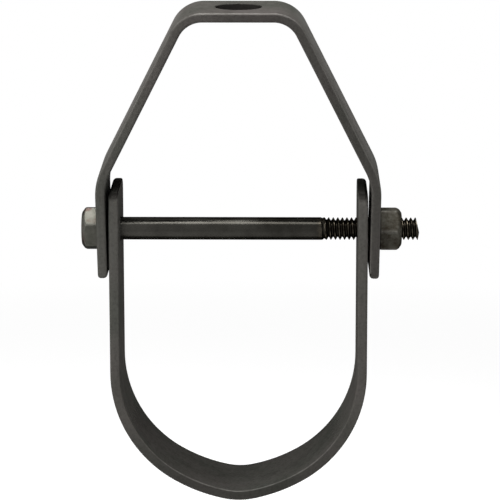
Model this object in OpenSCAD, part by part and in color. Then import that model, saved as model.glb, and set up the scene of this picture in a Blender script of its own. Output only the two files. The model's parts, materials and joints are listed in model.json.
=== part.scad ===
// Adjustable clevis hanger for pipe.
// A bent yoke hangs from a threaded rod, and a U-shaped strap swings in it on a cross bolt.
// The origin is the middle of the rod hole. X runs along the bolt towards the nut, Z is up.

/* [Flat bar] */
// Width of both flat bars
bar_w = 25.4; // [20:0.2:32]
// Thickness of both flat bars
bar_t = 2.7; // [2:0.1:3.4]
// Diameter of the bolt holes in both bars
bolt_hole_d = 7.14; // [6.8:0.02:9]

/* [Yoke] */
// Height of the yoke's top face above the bolt's axis
yoke_h = 62.3; // [50:0.5:90]
// Distance between the two top folds, along the middle of the bar
top_w = 29.7; // [28:0.1:40]
// Height of the two shoulder folds above the bolt's axis
shoulder_h = 15.2; // [15:0.1:20]
// Inner radius of the two top folds
fold_r = 7; // [3:0.5:9]
// Inner radius of the two shoulder folds
shoulder_r = 14.5; // [6:0.5:16]
// Angle at which the ears lean in towards their lower ends
toe_in = 1.2; // [0:0.1:1.6]
// Length of the ears below the bolt's axis
ear_l = 11.7; // [9:0.1:16]
// Radius of the corners at the ears' ends
ear_corner_r = 1.5; // [0.5:0.1:4]
// Diameter of the rod hole in the yoke's top
rod_hole_d = 12.7; // [9:0.1:14.5]

/* [Strap] */
// Width across the outside of the strap's legs
strap_w = 71.4; // [60:0.2:90]
// Length of the straight legs below the bolt's axis
leg_l = 38.8; // [20:0.2:60]
// Length of the legs above the bolt's axis
leg_top_l = 12.4; // [9:0.1:12.5]
// Radius of the corners at the legs' ends
leg_corner_r = 3.5; // [2:0.1:5]
// Angle below level down to which the strap's sides are round about its middle
side_angle = 60; // [45:1:70]
// How much larger the strap's radius is from there down to its nose
floor_extra_r = 11; // [2:0.2:14]
// Inner radius of the strap's nose at the bottom
nose_r = 18; // [4:0.5:24]

/* [Bolt] */
// Diameter of the bolt's plain shank
shank_d = 6.35; // [5:0.05:6.6]
// Diameter over the bolt's thread
thread_d = 6.25; // [4.8:0.05:6.3]
// Pitch of the thread
thread_pitch = 1.27; // [1:0.01:1.5]
// Length of the thread
thread_l = 25.4; // [16:0.2:30]
// Length of the bolt under its head
bolt_l = 89.4; // [84:0.1:120]
// Size of the head across its flats
head_af = 11.11; // [10:0.01:13]
// Height of the head
head_h = 4.57; // [3:0.01:6]
// Angle by which the head's nearest corner points above level
head_turn = 20; // [0:1:60]

/* [Nut] */
// Size of the nut across its flats
nut_af = 11.11; // [10:0.01:13]
// Thickness of the nut
nut_t = 6.1; // [4:0.01:6.2]
// Angle by which the nut's nearest corner points above level
nut_turn = 4; // [0:1:60]

/* [Clearances] */
// Gap between a leg and its ear at the bolt's axis
ear_gap = 0.65; // [0.5:0.05:2]
// Gap between the ears and the hexagons of head and nut
seat_gap = 0.05; // [0.02:0.01:0.3]
// Radial clearance of the nut over the thread
thread_gap = 0.05; // [0.02:0.01:0.1]

/* [Hidden] */
$fn = 96;

steel_scale = [0.29, 0.285, 0.27];
steel_oiled = [0.22, 0.21, 0.19];
steel_worn = [0.40, 0.39, 0.36];

// Chamfer of a hexagon's corners: the flat circle left on a face, as a share of the size across flats
chamfer_share = 0.8;
chamfer_angle = 35;
// Depth of a thread groove, as a share of the pitch
groove_share = 0.6134;
// How far a cut runs past the face it starts from
past = 1;
// Largest angle between two neighbouring points of a round
round_step = 3;

// Places along Z, from the middle of the rod hole
bolt_z = bar_t / 2 - yoke_h;
ear_end_z = bolt_z - ear_l;
leg_end_z = bolt_z + leg_top_l;
leg_foot_z = bolt_z - leg_l;
shoulder_z = bolt_z + shoulder_h;

// Places along X, from the middle of the hanger
leg_x = (strap_w - bar_t) / 2;
ear_x = strap_w / 2 + ear_gap + bar_t / 2;
ear_outer_x = strap_w / 2 + ear_gap + bar_t / cos(toe_in);
shoulder_x = ear_x + shoulder_h * tan(toe_in);
head_seat_x = ear_outer_x + head_af / 2 / cos(30) * tan(toe_in) + seat_gap;
nut_seat_x = ear_outer_x + nut_af / 2 / cos(30) * tan(toe_in) + seat_gap;

// Headings of the yoke's right arm and right ear, along the middle of the bar
arm_heading = atan2(shoulder_z, shoulder_x - top_w / 2);
ear_heading = -90 - toe_in;

// Middle radii of the folds and of the strap's rounded stretches
fold_mid_r = fold_r + bar_t / 2;
shoulder_mid_r = shoulder_r + bar_t / 2;
floor_mid_r = leg_x + floor_extra_r;
nose_mid_r = nose_r + bar_t / 2;

// Centres of the right half's rounds, and the angle at which the strap's nose passes into its floor
top_fold = fold_centre([top_w / 2, 0], fold_mid_r, 0, arm_heading);
shoulder_fold = fold_centre([shoulder_x, shoulder_z], shoulder_mid_r, arm_heading, ear_heading);
side_centre = [0, leg_foot_z];
floor_centre = side_centre - floor_extra_r * unit(-side_angle);
nose_angle = -acos(-floor_centre[0] / (floor_mid_r - nose_mid_r));
nose_centre = floor_centre + (floor_mid_r - nose_mid_r) * unit(nose_angle);

// Unit vector at an angle
function unit(angle) = [cos(angle), sin(angle)];

// Centre of the fold that rounds a corner where the bar turns clockwise from one heading to another
function fold_centre(corner, r, way_in, way_out) =
    corner - r * tan((way_in - way_out) / 2) * unit(way_in) + r * unit(way_in - 90);

// Points of a round from one angle to another, where skip leaves out that many at its start
function round_points(centre, r, from, to, skip = 0) =
    let (steps = ceil(abs(to - from) / round_step))
        [for (i = [skip : steps]) centre + r * unit(from + (to - from) * i / steps)];

// Point at a height on the ear's line that touches the shoulder's round of radius r
function ear_point(r, z) =
    let (touch = shoulder_fold + r * unit(ear_heading + 90))
        touch + unit(ear_heading) * (z - touch[1]) / sin(ear_heading);

// Right half of the yoke's side view, along a line a given distance outside the middle of the bar
function yoke_line(out) = [
    each round_points(top_fold, fold_mid_r + out, 90, 90 + arm_heading),
    each round_points(shoulder_fold, shoulder_mid_r + out, 90 + arm_heading, 90 + ear_heading),
    ear_point(shoulder_mid_r + out, ear_end_z)
];

// Right half of the strap's side view, along a line a given distance outside the middle of the bar
function strap_line(out) = [
    each round_points(nose_centre, nose_mid_r + out, -90, nose_angle),
    each round_points(floor_centre, floor_mid_r + out, nose_angle, -side_angle, skip = 1),
    each round_points(side_centre, leg_x + out, -side_angle, 0, skip = 1),
    [leg_x + out, leg_end_z]
];

function backwards(points) = [for (i = [len(points) - 1 : -1 : 0]) points[i]];

// A line from end to end, given its right half, whose first point may lie in the middle
function whole_line(half) = [
    for (point = backwards(half)) if (point[0] > 0) [-point[0], point[1]],
    each half
];

// The bar between two lines, extruded across its width
module bent_bar(outer, inner) {
    rotate([90, 0, 0])
        linear_extrude(bar_w, center = true)
            polygon([
                each whole_line(outer),
                each backwards(whole_line(inner))
            ]);
}

// Cutter for both corners of a bar's ends at height z, where the bar lies on the side of dir
module end_corners(z, dir, r) {
    length = strap_w + 4 * (bar_t + ear_gap);
    for (side = [-1, 1])
        translate([0, side * (bar_w / 2 - r), z + dir * r])
            rotate([90, 0, 90])
                linear_extrude(length, center = true)
                    difference() {
                        translate([side > 0 ? 0 : -r - past, dir > 0 ? -r - past : 0])
                            square(r + past);
                        circle(r);
                    }
}

// A bore along X through everything between the ears
module bolt_bore() {
    length = 2 * ear_outer_x + 4 * bar_t;
    translate([0, 0, bolt_z])
        rotate([0, 90, 0])
            cylinder(d = bolt_hole_d, h = length, center = true);
}

module yoke() {
    color(steel_scale)
        difference() {
            bent_bar(yoke_line(bar_t / 2), yoke_line(-bar_t / 2));
            cylinder(d = rod_hole_d, h = 4 * bar_t, center = true);
            bolt_bore();
            end_corners(ear_end_z, 1, ear_corner_r);
        }
}

module strap() {
    color(steel_scale)
        difference() {
            bent_bar(strap_line(bar_t / 2), strap_line(-bar_t / 2));
            bolt_bore();
            end_corners(leg_end_z, -1, leg_corner_r);
        }
}

// A hexagon along Z with its corners chamfered at the top
module hexagon(af, h) {
    corner_r = af / 2 / cos(30);
    face_r = af / 2 * chamfer_share;
    slope_h = (corner_r - face_r) * tan(chamfer_angle);
    intersection() {
        cylinder(r = corner_r, h = h, $fn = 6);
        rotate_extrude()
            polygon([
                [0, 0],
                [corner_r, 0],
                [corner_r, h - slope_h],
                [face_r, h],
                [0, h]
            ]);
    }
}

// Turns a child's Z axis along X, with a hexagon's nearest corner raised by an angle
module on_bolt_axis(raised) {
    translate([0, 0, bolt_z])
        rotate([30 - raised, 0, 0])
            rotate([0, 90, 0])
                children();
}

module cross_bolt() {
    thread_x = bolt_l - head_seat_x - thread_l;
    color(steel_oiled)
        on_bolt_axis(head_turn) {
            translate([0, 0, -head_seat_x])
                mirror([0, 0, 1])
                    hexagon(head_af, head_h);
            translate([0, 0, -head_seat_x])
                cylinder(d = shank_d, h = thread_x + head_seat_x);
            translate([0, 0, thread_x])
                cylinder(d = thread_d, h = thread_l);
        }
}

module hex_nut() {
    bore_r = thread_d / 2 + thread_gap;
    groove_h = groove_share * thread_pitch;
    color(steel_worn)
        on_bolt_axis(nut_turn)
            translate([0, 0, nut_seat_x])
                difference() {
                    hexagon(nut_af, nut_t);
                    translate([0, 0, -past])
                        cylinder(r = bore_r, h = nut_t + 2 * past);
                    cylinder(r1 = bore_r + groove_h / 2, r2 = bore_r, h = groove_h / 2);
                    translate([0, 0, nut_t - groove_h / 2])
                        cylinder(r1 = bore_r, r2 = bore_r + groove_h / 2, h = groove_h / 2);
                }
}

yoke();
strap();
cross_bolt();
hex_nut();
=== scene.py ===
import json
from math import asin, atan2, ceil, cos, pi, radians, sin, tan

import bmesh
import bpy
from mathutils import Euler, Matrix, Vector


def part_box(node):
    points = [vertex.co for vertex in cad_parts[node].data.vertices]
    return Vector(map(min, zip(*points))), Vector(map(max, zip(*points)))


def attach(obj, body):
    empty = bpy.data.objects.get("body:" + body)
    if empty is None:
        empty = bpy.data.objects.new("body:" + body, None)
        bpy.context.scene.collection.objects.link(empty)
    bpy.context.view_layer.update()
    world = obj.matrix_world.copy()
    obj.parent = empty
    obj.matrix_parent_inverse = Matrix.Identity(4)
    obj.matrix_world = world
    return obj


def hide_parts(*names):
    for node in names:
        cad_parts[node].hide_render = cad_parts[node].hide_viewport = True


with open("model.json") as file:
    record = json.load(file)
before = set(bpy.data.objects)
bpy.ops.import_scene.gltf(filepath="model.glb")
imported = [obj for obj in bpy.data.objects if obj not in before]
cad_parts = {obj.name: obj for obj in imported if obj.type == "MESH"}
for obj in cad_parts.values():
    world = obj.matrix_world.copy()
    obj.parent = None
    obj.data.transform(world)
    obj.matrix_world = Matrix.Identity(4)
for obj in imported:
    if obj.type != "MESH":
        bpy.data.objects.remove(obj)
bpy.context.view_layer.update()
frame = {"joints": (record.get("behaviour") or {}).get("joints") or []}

# Yoke
# The upper half of the hanger: a hot-rolled flat steel bar, sheared to length and punched, then
# folded twice at the top and once at each shoulder. It hangs on the rod, and its ears carry the bolt.

MM = 0.001
TINY = 0.01 * MM

yoke_low, yoke_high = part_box("yoke")
strap_low, strap_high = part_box("strap")
bolt_z = frame["joints"][0]["pos_m"][2]
leg_top_l = strap_high.z - bolt_z
bar_t = 2 * yoke_high.z
bar_w = 2 * yoke_high.y
top_w = 29.7 * MM
shoulder_h = 15.2 * MM
fold_r = 7 * MM + bar_t / 2
shoulder_r = 14.5 * MM + bar_t / 2
toe_in = radians(1.2)
ear_gap = 0.65 * MM
ear_corner_r = 1.5 * MM
rod_hole_r = 6.35 * MM
bolt_hole_r = 3.57 * MM

yoke_long_edge_r = 0.8 * MM
sheared_edge_r = 1.2 * MM
hole_edge_r = 0.3 * MM

bend_step = radians(3)
corner_steps = 6
hole_steps = 64
edge_steps = 4
sharp_angle = radians(30)


def bent_bar(start, runs, corner_r):
    """Half a flat bar, drawn out of a section in the middle plane, bent run by run and then mirrored.
    A run is a straight length, the turn of the bend that follows, and that bend's middle radius."""
    bar = bmesh.new()
    section = Matrix.LocRotScale(start, Euler((0, pi / 2, 0)), Vector((bar_t, bar_w, 1)))
    bmesh.ops.create_grid(bar, x_segments=1, y_segments=1, size=0.5, matrix=section)
    bar.faces.ensure_lookup_table()
    face = bar.faces[0]
    heading = 0
    for length, turn, radius in runs:
        if length > TINY:
            drawn = bmesh.ops.extrude_face_region(bar, geom=[face])["geom"]
            bmesh.ops.delete(bar, geom=[face], context="FACES_ONLY")
            face = next(part for part in drawn if isinstance(part, bmesh.types.BMFace))
            way = Vector((cos(heading), 0, sin(heading)))
            bmesh.ops.translate(bar, verts=face.verts, vec=length * way)
        if turn:
            inward = Vector((-sin(heading), 0, cos(heading))) * (1 if turn > 0 else -1)
            bend_centre = face.calc_center_median() + radius * inward
            bent = bmesh.ops.spin(bar, geom=[face, *face.edges, *face.verts], cent=bend_centre,
                                  axis=(0, -1, 0), angle=turn, steps=ceil(abs(turn) / bend_step),
                                  use_duplicate=False)
            face = next(part for part in bent["geom_last"] if isinstance(part, bmesh.types.BMFace))
            heading += turn
    corners = [edge for edge in face.edges if abs(edge.verts[0].co.y - edge.verts[1].co.y) < TINY]
    bmesh.ops.bevel(bar, geom=corners, offset=corner_r, offset_type="OFFSET", segments=corner_steps,
                    profile=0.5, affect="EDGES", material=-1)
    middle = [face for face in bar.faces if all(abs(vert.co.x) < TINY for vert in face.verts)]
    bmesh.ops.delete(bar, geom=middle, context="FACES_ONLY")
    bmesh.ops.mirror(bar, geom=[*bar.verts, *bar.edges, *bar.faces], matrix=Matrix.Identity(4),
                     merge_dist=TINY, axis="X")
    bmesh.ops.recalc_face_normals(bar, faces=bar.faces)
    return bar


def as_object(name, shape):
    """A new object with the shape for its mesh."""
    mesh = bpy.data.meshes.new(name)
    shape.to_mesh(mesh)
    shape.free()
    mesh.shade_smooth()
    piece = bpy.data.objects.new(name, mesh)
    bpy.context.scene.collection.objects.link(piece)
    return piece


def punch(piece, centre, axis, radius, length):
    """Cuts a round hole through the piece. The punch lies along an axis, its middle at the centre."""
    tool = bmesh.new()
    place = Matrix.Translation(centre) @ Vector(axis).to_track_quat("Z", "Y").to_matrix().to_4x4()
    bmesh.ops.create_cone(tool, cap_ends=True, segments=hole_steps, radius1=radius, radius2=radius,
                          depth=length, matrix=place)
    cutter = as_object("punch", tool)
    cut = piece.modifiers.new("Punch", "BOOLEAN")
    cut.operation = "DIFFERENCE"
    cut.solver = "EXACT"
    cut.object = cutter
    evaluated = piece.evaluated_get(bpy.context.evaluated_depsgraph_get())
    solid = piece.data
    piece.data = bpy.data.meshes.new_from_object(evaluated)
    piece.modifiers.remove(cut)
    bpy.data.meshes.remove(solid)
    bpy.data.objects.remove(cutter)


def ease_edges(piece, edge_r, widest, steps):
    """Rounds each sharp edge of the piece by the radius that edge_r gives for its two ends. None of
    the radii is larger than widest."""
    shape = bmesh.new()
    shape.from_mesh(piece.data)
    weight = shape.edges.layers.float.new("bevel_weight_edge")
    for edge in shape.edges:
        if edge.calc_face_angle(0) > sharp_angle:
            edge[weight] = edge_r(edge.verts[0].co, edge.verts[1].co) / widest
            edge.smooth = edge[weight] > 0
    shape.to_mesh(piece.data)
    shape.free()
    bevel = piece.modifiers.new("Edges", "BEVEL")
    bevel.limit_method = "WEIGHT"
    bevel.width = widest
    bevel.segments = steps
    bevel.profile = 0.5
    bevel.use_clamp_overlap = False
    bevel.harden_normals = True


def on_bolt_hole(*points):
    """Whether the points lie on the rim of a bolt hole."""
    return all(abs(Vector((0, p.y, p.z - bolt_z)).length - bolt_hole_r) < TINY for p in points)


shoulder = Vector((strap_high.x + ear_gap + bar_t / 2 + shoulder_h * tan(toe_in), bolt_z + shoulder_h))
arm = shoulder - Vector((top_w / 2, 0))
arm_heading = atan2(arm.y, arm.x)
ear_heading = -pi / 2 - toe_in
top_reach = fold_r * tan(-arm_heading / 2)
shoulder_reach = shoulder_r * tan((arm_heading - ear_heading) / 2)
ear_l = (shoulder.y - yoke_low.z - bar_t / 2 * sin(toe_in)) / cos(toe_in)

yoke_shape = bent_bar(Vector((0, 0, 0)), [
    (top_w / 2 - top_reach, arm_heading, fold_r),
    (arm.length - top_reach - shoulder_reach, ear_heading - arm_heading, shoulder_r),
    (ear_l - shoulder_reach, 0, 0),
], ear_corner_r)
yoke = as_object("folded_yoke", yoke_shape)
punch(yoke, (0, 0, 0), (0, 0, 1), rod_hole_r, 4 * bar_t)
punch(yoke, (0, 0, bolt_z), (1, 0, 0), bolt_hole_r, 4 * shoulder.x)


def yoke_edge_r(*ends):
    """The radius of an edge. The shear has rolled over the inner side of the ears' ends."""
    if on_bolt_hole(*ends) or all(Vector((p.x, p.y, 0)).length < rod_hole_r + TINY for p in ends):
        return hole_edge_r
    at_end = all(p.z < yoke_low.z + ear_corner_r + TINY for p in ends)
    inside = all(abs(p.x) < strap_high.x + bar_t / 2 for p in ends)
    return sheared_edge_r if at_end and inside else yoke_long_edge_r


ease_edges(yoke, yoke_edge_r, sheared_edge_r, edge_steps)


class Socket:
    """An output of a node, on which Python's operators add Math nodes."""

    def __init__(self, finish, link):
        self.finish = finish
        self.link = link

    def math(self, operation, first, second):
        return self.finish.node("Math", {"operation": operation}, {0: first, 1: second})

    def __add__(self, other):
        return self.math("ADD", self, other)

    def __radd__(self, other):
        return self.math("ADD", other, self)

    def __sub__(self, other):
        return self.math("SUBTRACT", self, other)

    def __rsub__(self, other):
        return self.math("SUBTRACT", other, self)

    def __mul__(self, other):
        return self.math("MULTIPLY", self, other)

    def __rmul__(self, other):
        return self.math("MULTIPLY", other, self)

    def clamped(self, low, high):
        """0 where the value is at low, 1 where it is at high, and straight between them."""
        return self.finish.node("MapRange", {"clamp": True}, {0: self, 1: low, 2: high})


class Finish:
    """The nodes of a material or of the world."""

    def __init__(self, owner):
        owner.use_nodes = True
        self.owner = owner
        self.tree = owner.node_tree
        self.shader = self.tree.nodes.get("Principled BSDF")

    def node(self, kind, settings, sockets, output=0):
        """An output of a new node, given its settings and the values or links of its sockets."""
        made = self.tree.nodes.new("ShaderNode" + kind)
        for name, value in settings.items():
            setattr(made, name, value)
        for key, value in sockets.items():
            self.plug(made.inputs[key], value)
        return Socket(self, made.outputs[output])

    def plug(self, socket, value):
        """Links a socket to another node's output, or sets its value."""
        if isinstance(value, Socket):
            self.tree.links.new(value.link, socket)
        else:
            socket.default_value = value

    def mix(self, factor, first, second):
        """A colour between two others."""
        return self.node("Mix", {"data_type": "RGBA"}, {0: factor, 6: first, 7: second}, 2)

    def noise(self, scale, detail, roughness, stretch=(1, 1, 1)):
        """Noise of some 1 / scale metres in size, shorter along an axis where stretch is larger."""
        place = self.node("TexCoord", {}, {}, "Object")
        place = self.node("Mapping", {}, {"Vector": place, "Scale": stretch})
        return self.node("TexNoise", {}, {"Vector": place, "Scale": scale, "Detail": detail,
                                          "Roughness": roughness})

    def coordinate(self, kind, axis):
        """The place on the piece or the way its surface faces, along an axis."""
        return self.node("SeparateXYZ", {}, {0: self.node("TexCoord", {}, {}, kind)}, axis)

    def outward(self):
        """The distance from the hanger's middle plane, less than 0 where the surface faces it."""
        return self.coordinate("Normal", "X") * self.coordinate("Object", "X")

    def long_edges(self):
        """1 half way round a bar's rounded long edge, 0 on the flats beside it."""
        across = self.coordinate("Normal", "Y")
        share = across * across
        return 4 * share * (1 - share)

    def from_line(self, point, across):
        """Distance from the line through a point that runs along the axis that is 0 in across."""
        place = self.node("TexCoord", {}, {}, "Object")
        centred = self.node("VectorMath", {"operation": "SUBTRACT"}, {0: place, 1: point})
        radial = self.node("VectorMath", {"operation": "MULTIPLY"}, {0: centred, 1: across})
        return self.node("VectorMath", {"operation": "LENGTH"}, {0: radial}, "Value")

    def bump(self, height, strength, distance):
        """The surface's direction, tilted as by a relief of that height."""
        return self.node("Bump", {}, {"Height": height, "Strength": strength, "Distance": distance})

    def shade(self, **sockets):
        """Sets sockets of the shader, named with underscores for spaces."""
        for name, value in sockets.items():
            self.plug(self.shader.inputs[name.replace("_", " ")], value)


def steel_finish(name, metallic):
    """A steel's material, with no white gloss over its own colour."""
    steel = Finish(bpy.data.materials.new(name))
    steel.shade(Metallic=metallic, Specular_IOR_Level=0, Specular_Tint=(0.1, 0.1, 0.1, 1))
    return steel


dull_metal = 0.3
# A dark tone, for the scale's dark grain and for painted shade.
dark_scale_and_shade = (0.012, 0.011, 0.010, 1)
# A light tone, for bare worn steel and for painted sheen and highlight.
bare_steel_and_sheen = (0.17, 0.165, 0.155, 1)
gap_shade = 0.7


def mill_scale(name, shade_axis, shade_start, shade_end, shade_share):
    """The steel of both bars under its mill scale, and its tone. On the faces turned to the front a
    painted shade darkens the tone by a share, along an axis from a start to an end."""
    steel = steel_finish(name, dull_metal)
    patches = steel.noise(55, 5, 0.6).clamped(0.35, 0.68)
    warmth = steel.noise(28, 3, 0.5).clamped(0.38, 0.62)
    streaks = steel.noise(260, 3, 0.6, (1, 1, 0.25)).clamped(0.3, 0.7)
    grain = steel.noise(1100, 4, 0.65)
    cool = steel.mix(patches, (0.056, 0.058, 0.050, 1), (0.078, 0.079, 0.070, 1))
    warm = steel.mix(patches, (0.064, 0.058, 0.053, 1), (0.088, 0.079, 0.075, 1))
    tone = steel.mix(warmth, cool, warm)
    tone = steel.mix(streaks * 0.4, tone, (0.110, 0.105, 0.097, 1))
    tone = steel.mix(grain.clamped(0.45, 0.7) * 0.3, tone, dark_scale_and_shade)
    # Painted shade on the faces turned to the front, growing along the shade axis.
    front = steel.coordinate("Normal", "Y").clamped(-0.7, -0.95)
    shaded = front * steel.coordinate("Object", shade_axis).clamped(shade_start, shade_end)
    tone = steel.mix(shaded * shade_share, tone, dark_scale_and_shade)
    # Edge wear on the long edges, with a painted highlight on the edges turned upward.
    upper = steel.coordinate("Normal", "Z").clamped(0.35, 0.65)
    edge_wear_and_highlight = steel.long_edges() * (0.1 + 0.9 * upper) * steel.noise(240, 4, 0.65).clamped(0.35, 0.6)
    tone = steel.mix(edge_wear_and_highlight * 0.5, tone, bare_steel_and_sheen)
    steel.shade(
        Roughness=0.50 + patches * 0.10 - edge_wear_and_highlight * 0.10,
        Normal=steel.bump(grain + streaks * 0.4, 0.25, 0.08 * MM))
    return steel, tone


# Painted shade on the yoke's front faces, growing from left of the middle to full on the right.
yoke_steel, yoke_tone = mill_scale("yoke_steel", shade_axis="X", shade_start=-18 * MM, shade_end=0,
                                   shade_share=0.34)
outward = yoke_steel.outward()
height = yoke_steel.coordinate("Object", "Z")
# Painted sheen on the arms' outer faces, lighter towards the back edge.
on_arms = height.clamped(bolt_z + shoulder_h / 2, bolt_z + shoulder_h * 1.5)
arm_sheen = outward.clamped(8 * MM, 16 * MM) * on_arms
arm_sheen *= 0.4 + 0.6 * yoke_steel.coordinate("Object", "Y").clamped(-bar_w / 2, 0)
arm_sheen *= 0.4 + 0.3 * yoke_steel.noise(300, 4, 0.6).clamped(0.35, 0.65)
yoke_tone = yoke_steel.mix(arm_sheen, yoke_tone, bare_steel_and_sheen)
# Painted shade on the ears' inner faces beside the strap's legs.
beside_leg = height.clamped(bolt_z + leg_top_l, bolt_z)
in_gap = outward.clamped(-0.9 * strap_high.x, -strap_high.x) * beside_leg
yoke_tone = yoke_steel.mix(in_gap * gap_shade, yoke_tone, dark_scale_and_shade)
# Painted shade on the rod hole's wall.
from_rod = yoke_steel.from_line((0, 0, 0), (1, 1, 0))
in_rod_hole = from_rod.clamped(rod_hole_r + hole_edge_r, rod_hole_r)
yoke_steel.shade(Base_Color=yoke_steel.mix(in_rod_hole * 0.8, yoke_tone, dark_scale_and_shade))
yoke.data.materials.append(yoke_steel.owner)
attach(yoke, "yoke")
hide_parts("yoke")

# Strap
# The lower half: a bar of the same stock, bent to a U that the pipe lies in, with a slight nose at
# the bottom where the two sides meet. It swings on the bolt between the yoke's ears.

leg_l = 38.8 * MM
leg_corner_r = 3.5 * MM
side_angle = radians(60)
floor_extra_r = 11 * MM
nose_r = 18 * MM + bar_t / 2
strap_long_edge_r = 0.45 * MM

side_r = strap_high.x - bar_t / 2
floor_r = side_r + floor_extra_r
nose_turn = asin(floor_extra_r * cos(side_angle) / (floor_r - nose_r))
strap_shape = bent_bar(Vector((0, 0, strap_low.z + bar_t / 2)), [
    (0, nose_turn, nose_r),
    (0, pi / 2 - nose_turn - side_angle, floor_r),
    (0, side_angle, side_r),
    (leg_top_l + leg_l, 0, 0),
], leg_corner_r)
strap = as_object("bent_strap", strap_shape)
punch(strap, (0, 0, bolt_z), (1, 0, 0), bolt_hole_r, 4 * strap_high.x)


def strap_edge_r(*ends):
    """The radius of an edge. The shear has rolled over the outer side of the legs' ends."""
    if on_bolt_hole(*ends):
        return hole_edge_r
    at_end = all(p.z > strap_high.z - leg_corner_r - TINY for p in ends)
    outside = all(abs(p.x) > strap_high.x - TINY for p in ends)
    return sheared_edge_r if at_end and outside else strap_long_edge_r


ease_edges(strap, strap_edge_r, sheared_edge_r, edge_steps)

# Painted shade on the strap's front faces, darker towards the bottom.
strap_steel, strap_tone = mill_scale("strap_steel", shade_axis="Z", shade_start=strap_low.z + 26 * MM,
                                     shade_end=strap_low.z + 6 * MM, shade_share=0.5)
height = strap_steel.coordinate("Object", "Z")
# Painted shade on the legs' outer faces where the ears cover them.
beside_ear = height.clamped(yoke_low.z - MM, yoke_low.z + MM)
in_gap = strap_steel.outward().clamped(0.9 * side_r, side_r) * beside_ear
strap_tone = strap_steel.mix(in_gap * gap_shade, strap_tone, dark_scale_and_shade)
# Painted shade on the legs' top ends and their rounded corners, under the yoke's arms.
upward = strap_steel.coordinate("Normal", "Z")
on_leg_top = upward.clamped(0.3, 0.6) * height.clamped(bolt_z, bolt_z + MM)
on_corner = 1 - upward.clamped(0.9, 0.99)
strap_tone = strap_steel.mix(on_leg_top * (0.45 + 0.45 * on_corner), strap_tone, dark_scale_and_shade)
strap_steel.shade(Base_Color=strap_tone)
strap.data.materials.append(strap_steel.owner)
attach(strap, "strap")
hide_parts("strap")

# Cross bolt
# A quarter-inch hexagon head bolt, cold-headed from steel wire and oiled. A thread of twenty to the
# inch is cut near its end only. It passes through ears and legs, and the strap swings on its shank.

bolt_low, bolt_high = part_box("cross_bolt")
shank_r = 3.175 * MM
crest_r = 3.125 * MM
pitch = 1.27 * MM
thread_l = 27.4 * MM
groove_h = 0.6134 * pitch
groove_slope = tan(radians(30))
crest_share = 0.125
flank_steps = 4
turn_steps = 64
run_out = 1.8 * pitch
shear_tilts = radians(13), radians(-8)
shear_z = -0.6 * MM

head_af = 11.11 * MM
head_h = 4.57 * MM
head_turn = radians(20)
chamfer_share = 0.8
chamfer_slope = tan(radians(35))
side_steps = 8
hexagon_reach = 4 * MM
corner_edge_r = 0.2 * MM
head_chamfer_edge_r = 0.25 * MM
hexagon_edge_steps = 3
bright_metal = 0.8


def radius_of(vert):
    """The distance of a vertex from the X axis."""
    return Vector((vert.co.y, vert.co.z)).length


def set_radius(vert, radius):
    """Moves a vertex straight in or out to a distance from the X axis."""
    factor = radius / radius_of(vert)
    vert.co.y *= factor
    vert.co.z *= factor


def trim(shape, point, away):
    """Cuts off what lies beyond a plane through the point."""
    bmesh.ops.bisect_plane(shape, geom=[*shape.verts, *shape.edges, *shape.faces], plane_co=point,
                           plane_no=away, clear_outer=True)


def screw_surface(shape, low_x, high_x, grow):
    """A right-hand thread about the X axis, from low_x to high_x, its radii larger by grow.
    It is wound a turn or two too far at both ends and trimmed."""
    root = crest_r - groove_h
    crest = crest_share * pitch / 2
    flank = groove_h * groove_slope
    outline = [(flank * i / flank_steps - flank - crest, root + groove_h * i / flank_steps)
               for i in range(flank_steps + 1)]
    outline += [(-x, r) for x, r in reversed(outline)]
    outline.append((outline[0][0] + pitch, root))
    turns = ceil((high_x - low_x) / pitch) + 3
    first = pitch * (round(low_x / pitch) - 2)
    verts = [shape.verts.new((first + x, -r - grow, 0)) for x, r in outline]
    edges = [shape.edges.new(pair) for pair in zip(verts, verts[1:])]
    bmesh.ops.spin(shape, geom=verts + edges, cent=(0, 0, 0), axis=(1, 0, 0),
                   dvec=(pitch / turn_steps, 0, 0), angle=2 * pi * turns, steps=turn_steps * turns,
                   use_duplicate=False)
    bmesh.ops.remove_doubles(shape, verts=shape.verts, dist=TINY / 2)
    trim(shape, (low_x, 0, 0), (-1, 0, 0))
    trim(shape, (high_x, 0, 0), (1, 0, 0))


def rim_at(shape, x, reach=TINY):
    """The open edges that lie within reach of x."""
    return [edge for edge in shape.edges
            if edge.is_boundary and all(abs(vert.co.x - x) < reach for vert in edge.verts)]


def draw_on(shape, rim):
    """Draws an open rim out into a new ring of faces, and returns the new rim and its vertices."""
    drawn = bmesh.ops.extrude_edge_only(shape, edges=rim)["geom"]
    return ([part for part in drawn if isinstance(part, bmesh.types.BMEdge)],
            [part for part in drawn if isinstance(part, bmesh.types.BMVert)])


def circle(shape, x, radius, raised):
    """A ring of edges about the X axis, with a point at each corner of a hexagon raised by an angle."""
    turned = Matrix.Rotation(pi + raised, 4, "X") @ Matrix.Rotation(pi / 2, 4, "Y")
    place = Matrix.Translation((x, 0, 0)) @ turned
    made = bmesh.ops.create_circle(shape, segments=6 * side_steps, radius=radius, matrix=place)
    return list(dict.fromkeys(edge for vert in made["verts"] for edge in vert.link_edges))


def hexagon(shape, rim, af, raised, inward, foot_x):
    """From the round rim of a hexagon's outer face, its chamfer and its six sides down to the foot,
    whose rim it returns."""
    rim, verts = draw_on(shape, rim)
    for vert in verts:
        face_r = radius_of(vert)
        angle = (atan2(vert.co.z, -vert.co.y) - raised) % (pi / 3) - pi / 6
        set_radius(vert, af / 2 / cos(angle))
        vert.co.x += inward * (radius_of(vert) - face_r) * chamfer_slope
    rim, verts = draw_on(shape, rim)
    for vert in verts:
        vert.co.x = foot_x
    return rim


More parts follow.
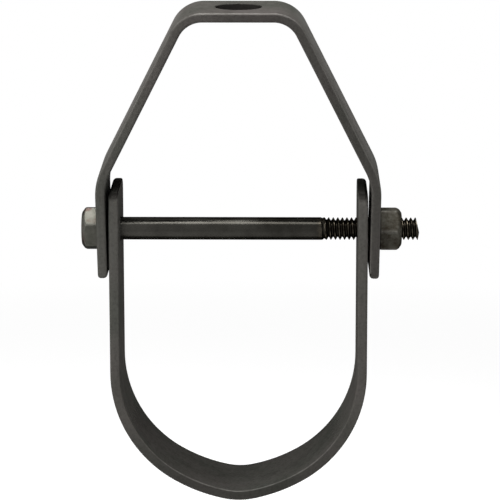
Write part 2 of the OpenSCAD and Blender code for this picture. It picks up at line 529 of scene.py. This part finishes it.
def soften_hexagon(piece, chamfer_edge_r):
    """Rounds the hexagon's edges and keeps the thread's crests crisp."""

    def hexagon_edge_r(*ends):
        if min(Vector((p.y, p.z - bolt_z)).length for p in ends) < hexagon_reach:
            return 0
        lengthwise = abs(ends[0].x - ends[1].x) > pitch
        return corner_edge_r if lengthwise else chamfer_edge_r

    ease_edges(piece, hexagon_edge_r, chamfer_edge_r, hexagon_edge_steps)


bolt_shape = bmesh.new()
head_seat_x = bolt_low.x + head_h
thread_x = bolt_high.x - thread_l
screw_surface(bolt_shape, thread_x, bolt_high.x, 0)
for vert in bolt_shape.verts:
    cut = min((vert.co.x - thread_x) / run_out, 1)
    set_radius(vert, cut * radius_of(vert) + (1 - cut) * shank_r)
for tilt in shear_tilts:
    trim(bolt_shape, (bolt_high.x, 0, shear_z), (cos(tilt), 0, sin(tilt)))
    bmesh.ops.holes_fill(bolt_shape, edges=rim_at(bolt_shape, bolt_high.x, pitch), sides=0)
bmesh.ops.remove_doubles(bolt_shape, verts=bolt_shape.verts, dist=TINY / 2)
shank_rim, shank_end = draw_on(bolt_shape, rim_at(bolt_shape, thread_x))
for vert in shank_end:
    vert.co.x = head_seat_x
head_rim = circle(bolt_shape, bolt_low.x, head_af / 2 * chamfer_share, head_turn)
bmesh.ops.holes_fill(bolt_shape, edges=head_rim, sides=0)
head_foot = hexagon(bolt_shape, head_rim, head_af, head_turn, 1, head_seat_x)
bmesh.ops.bridge_loops(bolt_shape, edges=shank_rim + head_foot)
bmesh.ops.recalc_face_normals(bolt_shape, faces=bolt_shape.faces)
bmesh.ops.translate(bolt_shape, verts=bolt_shape.verts, vec=(0, 0, bolt_z))
cross_bolt = as_object("cut_thread_bolt", bolt_shape)
soften_hexagon(cross_bolt, head_chamfer_edge_r)

bolt_steel = steel_finish("bolt_steel", bright_metal)
along = bolt_steel.coordinate("Object", "X")
from_axis = bolt_steel.from_line((0, 0, bolt_z), (0, 1, 1))
patches = bolt_steel.noise(120, 4, 0.6).clamped(0.35, 0.65)
# The shank's tone: random patches, and painted sheen that lightens it from the middle to the left leg.
shank_sheen = along.clamped(15 * MM, strap_low.x)
shank_tone = bolt_steel.mix(patches * 0.4 + shank_sheen * 0.6,
                            (0.014, 0.013, 0.011, 1), (0.056, 0.054, 0.048, 1))
# The thread's tone: darker than the shank, for its oil and as painted shade among its turns, with brown
# flecks on its crests.
on_crest = from_axis.clamped(crest_r - 0.3 * MM, crest_r)
thread_tone = bolt_steel.mix(on_crest * bolt_steel.noise(700, 3, 0.6).clamped(0.4, 0.6),
                             (0.014, 0.012, 0.009, 1), (0.075, 0.065, 0.048, 1))
head_tone = bolt_steel.mix(bolt_steel.noise(300, 5, 0.7).clamped(0.35, 0.65),
                           (0.052, 0.053, 0.044, 1), (0.085, 0.083, 0.072, 1))
rust = bolt_steel.noise(320, 3, 0.6).clamped(0.56, 0.66)
head_tone = bolt_steel.mix(rust * 0.6, head_tone, (0.045, 0.022, 0.018, 1))
# Painted sheen on the head's outer face and chamfer.
head_face_sheen = bolt_steel.coordinate("Normal", "X").clamped(-0.2, -0.6)
head_tone = bolt_steel.mix(head_face_sheen * 0.25, head_tone, (0.20, 0.195, 0.18, 1))
on_thread = along.clamped(thread_x - 1.5 * MM, thread_x + 2.5 * MM)
on_head = along.clamped(head_seat_x + 0.1 * MM, head_seat_x - 0.1 * MM)
bolt_tone = bolt_steel.mix(on_head, bolt_steel.mix(on_thread, shank_tone, thread_tone), head_tone)
on_corners = from_axis.clamped(head_af / 2 * 1.10, head_af / 2 / cos(pi / 6))
corner_wear = on_corners * bolt_steel.noise(500, 4, 0.65).clamped(0.35, 0.6)
bolt_steel.shade(
    Base_Color=bolt_steel.mix(corner_wear * 0.4, bolt_tone, (0.20, 0.19, 0.18, 1)),
    Roughness=0.20 + patches * 0.05 + on_head * 0.19,
    Normal=bolt_steel.bump(bolt_steel.noise(2200, 3, 0.6, (0.3, 1, 1)), 0.2, 0.05 * MM))
cross_bolt.data.materials.append(bolt_steel.owner)
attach(cross_bolt, "cross_bolt")
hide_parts("cross_bolt")

# Nut
# A steel hexagon nut on the bolt's end, chamfered on its outer face and threaded to match the bolt.
# It draws the ears against the legs, and its corners are rubbed bright by the wrench.

nut_low, nut_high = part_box("hex_nut")
nut_af = 11.11 * MM
nut_turn = radians(4)
thread_clearance = 0.06 * MM
bore_r = 2.6 * MM
mouth_r = 3.4 * MM
nut_chamfer_edge_r = 0.35 * MM

nut_shape = bmesh.new()
screw_surface(nut_shape, nut_low.x, nut_high.x, thread_clearance)
for vert in nut_shape.verts:
    depth = min(vert.co.x - nut_low.x, nut_high.x - vert.co.x)
    set_radius(vert, max(radius_of(vert), bore_r, mouth_r - depth))
nut_rim = circle(nut_shape, nut_high.x, nut_af / 2 * chamfer_share, nut_turn)
bmesh.ops.bridge_loops(nut_shape, edges=rim_at(nut_shape, nut_high.x) + nut_rim)
hexagon(nut_shape, nut_rim, nut_af, nut_turn, -1, nut_low.x)
bmesh.ops.bridge_loops(nut_shape, edges=rim_at(nut_shape, nut_low.x))
bmesh.ops.recalc_face_normals(nut_shape, faces=nut_shape.faces)
bmesh.ops.translate(nut_shape, verts=nut_shape.verts, vec=(0, 0, bolt_z))
hex_nut = as_object("threaded_nut", nut_shape)
soften_hexagon(hex_nut, nut_chamfer_edge_r)

nut_steel = steel_finish("nut_steel", dull_metal)
smears = nut_steel.noise(420, 5, 0.7).clamped(0.38, 0.66)
nut_tone = nut_steel.mix(smears, (0.026, 0.022, 0.016, 1), (0.076, 0.073, 0.061, 1))
from_axis = nut_steel.from_line((0, 0, bolt_z), (0, 1, 1))
on_corners = from_axis.clamped(nut_af / 2 * 1.08, nut_af / 2 / cos(pi / 6))
corner_wear = on_corners * nut_steel.noise(500, 4, 0.65).clamped(0.3, 0.6)
nut_steel.shade(
    Base_Color=nut_steel.mix(corner_wear * 0.8, nut_tone, (0.16, 0.155, 0.140, 1)),
    Roughness=0.46 + smears * 0.1 - corner_wear * 0.1,
    Normal=nut_steel.bump(nut_steel.noise(1500, 4, 0.6), 0.3, 0.08 * MM))
hex_nut.data.materials.append(nut_steel.owner)
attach(hex_nut, "hex_nut")
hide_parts("hex_nut")

# Floor, light and camera
# The hanger hangs a little above a plain pale floor, in a soft studio light from above, from the
# front and from both sides, and is seen from the front with the camera a little above it.

floor_gap = 50 * MM
floor_size = 12
floor_glow = 0.45
ambient = 0.15
fade_start = 0.25
fade_end = 0.5
white = (1, 1, 1, 1)
pale_grey = (0.8, 0.8, 0.8, 1)

floor_shape = bmesh.new()
bmesh.ops.create_grid(floor_shape, x_segments=1, y_segments=1, size=floor_size / 2,
                      matrix=Matrix.Translation((0, 0, strap_low.z - floor_gap)))
floor = as_object("floor", floor_shape)


def seen_directly(finish):
    """1 for the rays that show the background itself, 0 for those that only carry its light."""
    path = [finish.node("LightPath", {}, {}, name)
            for name in ("Is Camera Ray", "Is Glossy Ray", "Is Transmission Ray")]
    return (path[0] + path[1] + path[2]).clamped(0, 1)


paper = Finish(bpy.data.materials.new("pale_floor"))
distance = paper.node("VectorMath", {"operation": "LENGTH"},
                      {0: paper.node("TexCoord", {}, {}, "Object")}, "Value")
matt = paper.node("BsdfDiffuse", {}, {"Color": pale_grey})
glow = paper.node("Emission", {}, {"Color": white, "Strength": floor_glow})
near = paper.node("AddShader", {}, {0: matt, 1: glow})
far = paper.node("Emission", {}, {"Color": white, "Strength": 1})
shown = paper.node("MixShader", {}, {0: distance.clamped(fade_start, fade_end), 1: near, 2: far})
surface = paper.node("MixShader", {}, {0: seen_directly(paper), 1: matt, 2: shown})
paper.plug(paper.tree.nodes["Material Output"].inputs["Surface"], surface)
floor.data.materials.append(paper.owner)

air = Finish(bpy.data.worlds.new("studio"))
bpy.context.scene.world = air.owner
dim = air.node("Background", {}, {"Color": white, "Strength": ambient})
backdrop = air.node("Background", {}, {"Color": white, "Strength": 1})
surface = air.node("MixShader", {}, {0: seen_directly(air), 1: dim, 2: backdrop})
air.plug(air.tree.nodes["World Output"].inputs["Surface"], surface)

centre = Vector((3.06, 0, -67.14)) * MM


def aim(azimuth, elevation):
    """The turn of a lamp or camera that looks back from a direction, with azimuth 0 in front."""
    tilted = Matrix.Rotation(pi / 2 - radians(elevation), 4, "X")
    return Matrix.Rotation(radians(azimuth), 4, "Z") @ tilted


def placed(turned, distance):
    """The place of a lamp or camera at a distance from the hanger's centre, and its turn."""
    return Matrix.Translation(centre + distance * turned.col[2].to_3d()) @ turned


def lamp(name, azimuth, elevation, distance, size, level, mirrored=True):
    """A soft square lamp aimed at the hanger, which lights a white face turned to it to that level.
    The steel's gloss shows it only where it is mirrored."""
    light = bpy.data.lights.new(name, "AREA")
    light.shape = "SQUARE"
    light.size = size
    light.energy = level * (pi * distance) ** 2
    holder = bpy.data.objects.new(name, light)
    holder.matrix_world = placed(aim(azimuth, elevation), distance)
    holder.visible_glossy = mirrored
    bpy.context.scene.collection.objects.link(holder)


lamp("top_lamp", -10, 80, 0.40, 0.25, 1.35)
lamp("left_lamp", -75, 20, 1.0, 0.6, 0.36)
lamp("right_lamp", 80, 20, 1.0, 0.6, 0.05)
lamp("front_lamp", -15, 15, 1.2, 0.7, 0.36, mirrored=False)

photo_size = 500
pixels_per_metre = 3575
camera_distance = 803 * MM
camera_azimuth = 0.85
camera_elevation = 12.82
camera_roll = -0.07

camera_data = bpy.data.cameras.new("camera")
camera_data.lens = pixels_per_metre * camera_distance / photo_size * camera_data.sensor_width
camera_data.clip_start = 10 * MM
camera = bpy.data.objects.new("camera", camera_data)
turned = aim(camera_azimuth, camera_elevation) @ Matrix.Rotation(radians(camera_roll), 4, "Z")
camera.matrix_world = placed(turned, camera_distance)
bpy.context.scene.collection.objects.link(camera)
bpy.context.scene.camera = camera
bpy.context.scene.view_settings.view_transform = "Standard"
